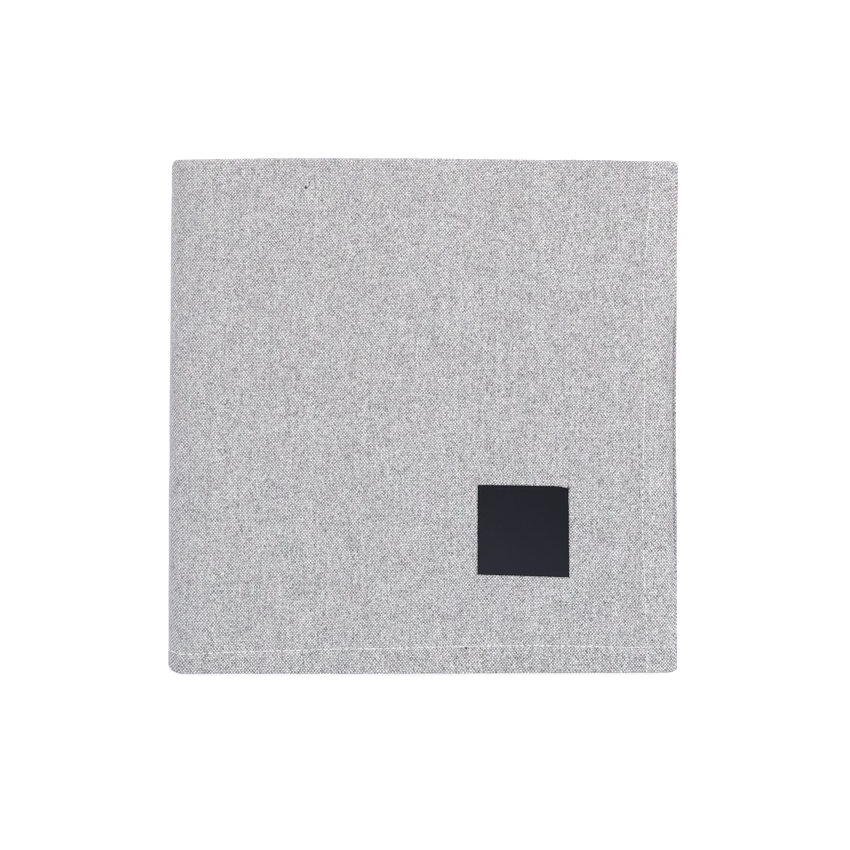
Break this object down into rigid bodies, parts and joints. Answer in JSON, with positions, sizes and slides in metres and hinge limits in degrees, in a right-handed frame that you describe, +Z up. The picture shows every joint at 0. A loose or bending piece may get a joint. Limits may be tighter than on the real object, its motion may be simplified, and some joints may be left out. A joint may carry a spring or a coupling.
{
  "type": "folded wipeable tablecloth",
  "caption": "Square grey canvas tablecloth, folded into a flat square stack, with stitched hems and a sewn-on plain dark label.",
  "frame": {"origin": "on the surface that the stack lies on, under its middle", "axes": "+X to the right, away from the thick fold; +Y to the back, away from the front hem; +Z up, out of the labelled top"},
  "size_m": [0.3509, 0.3557, 0.0246],
  "materials": {
    "canvas": "coarse plain weave in white and grey, lightly coated",
    "label": "dense navy satin weave"
  },
  "bodies": {
    "root": {"cloth": "canvas", "label": "label"}
  },
  "joints": []
}
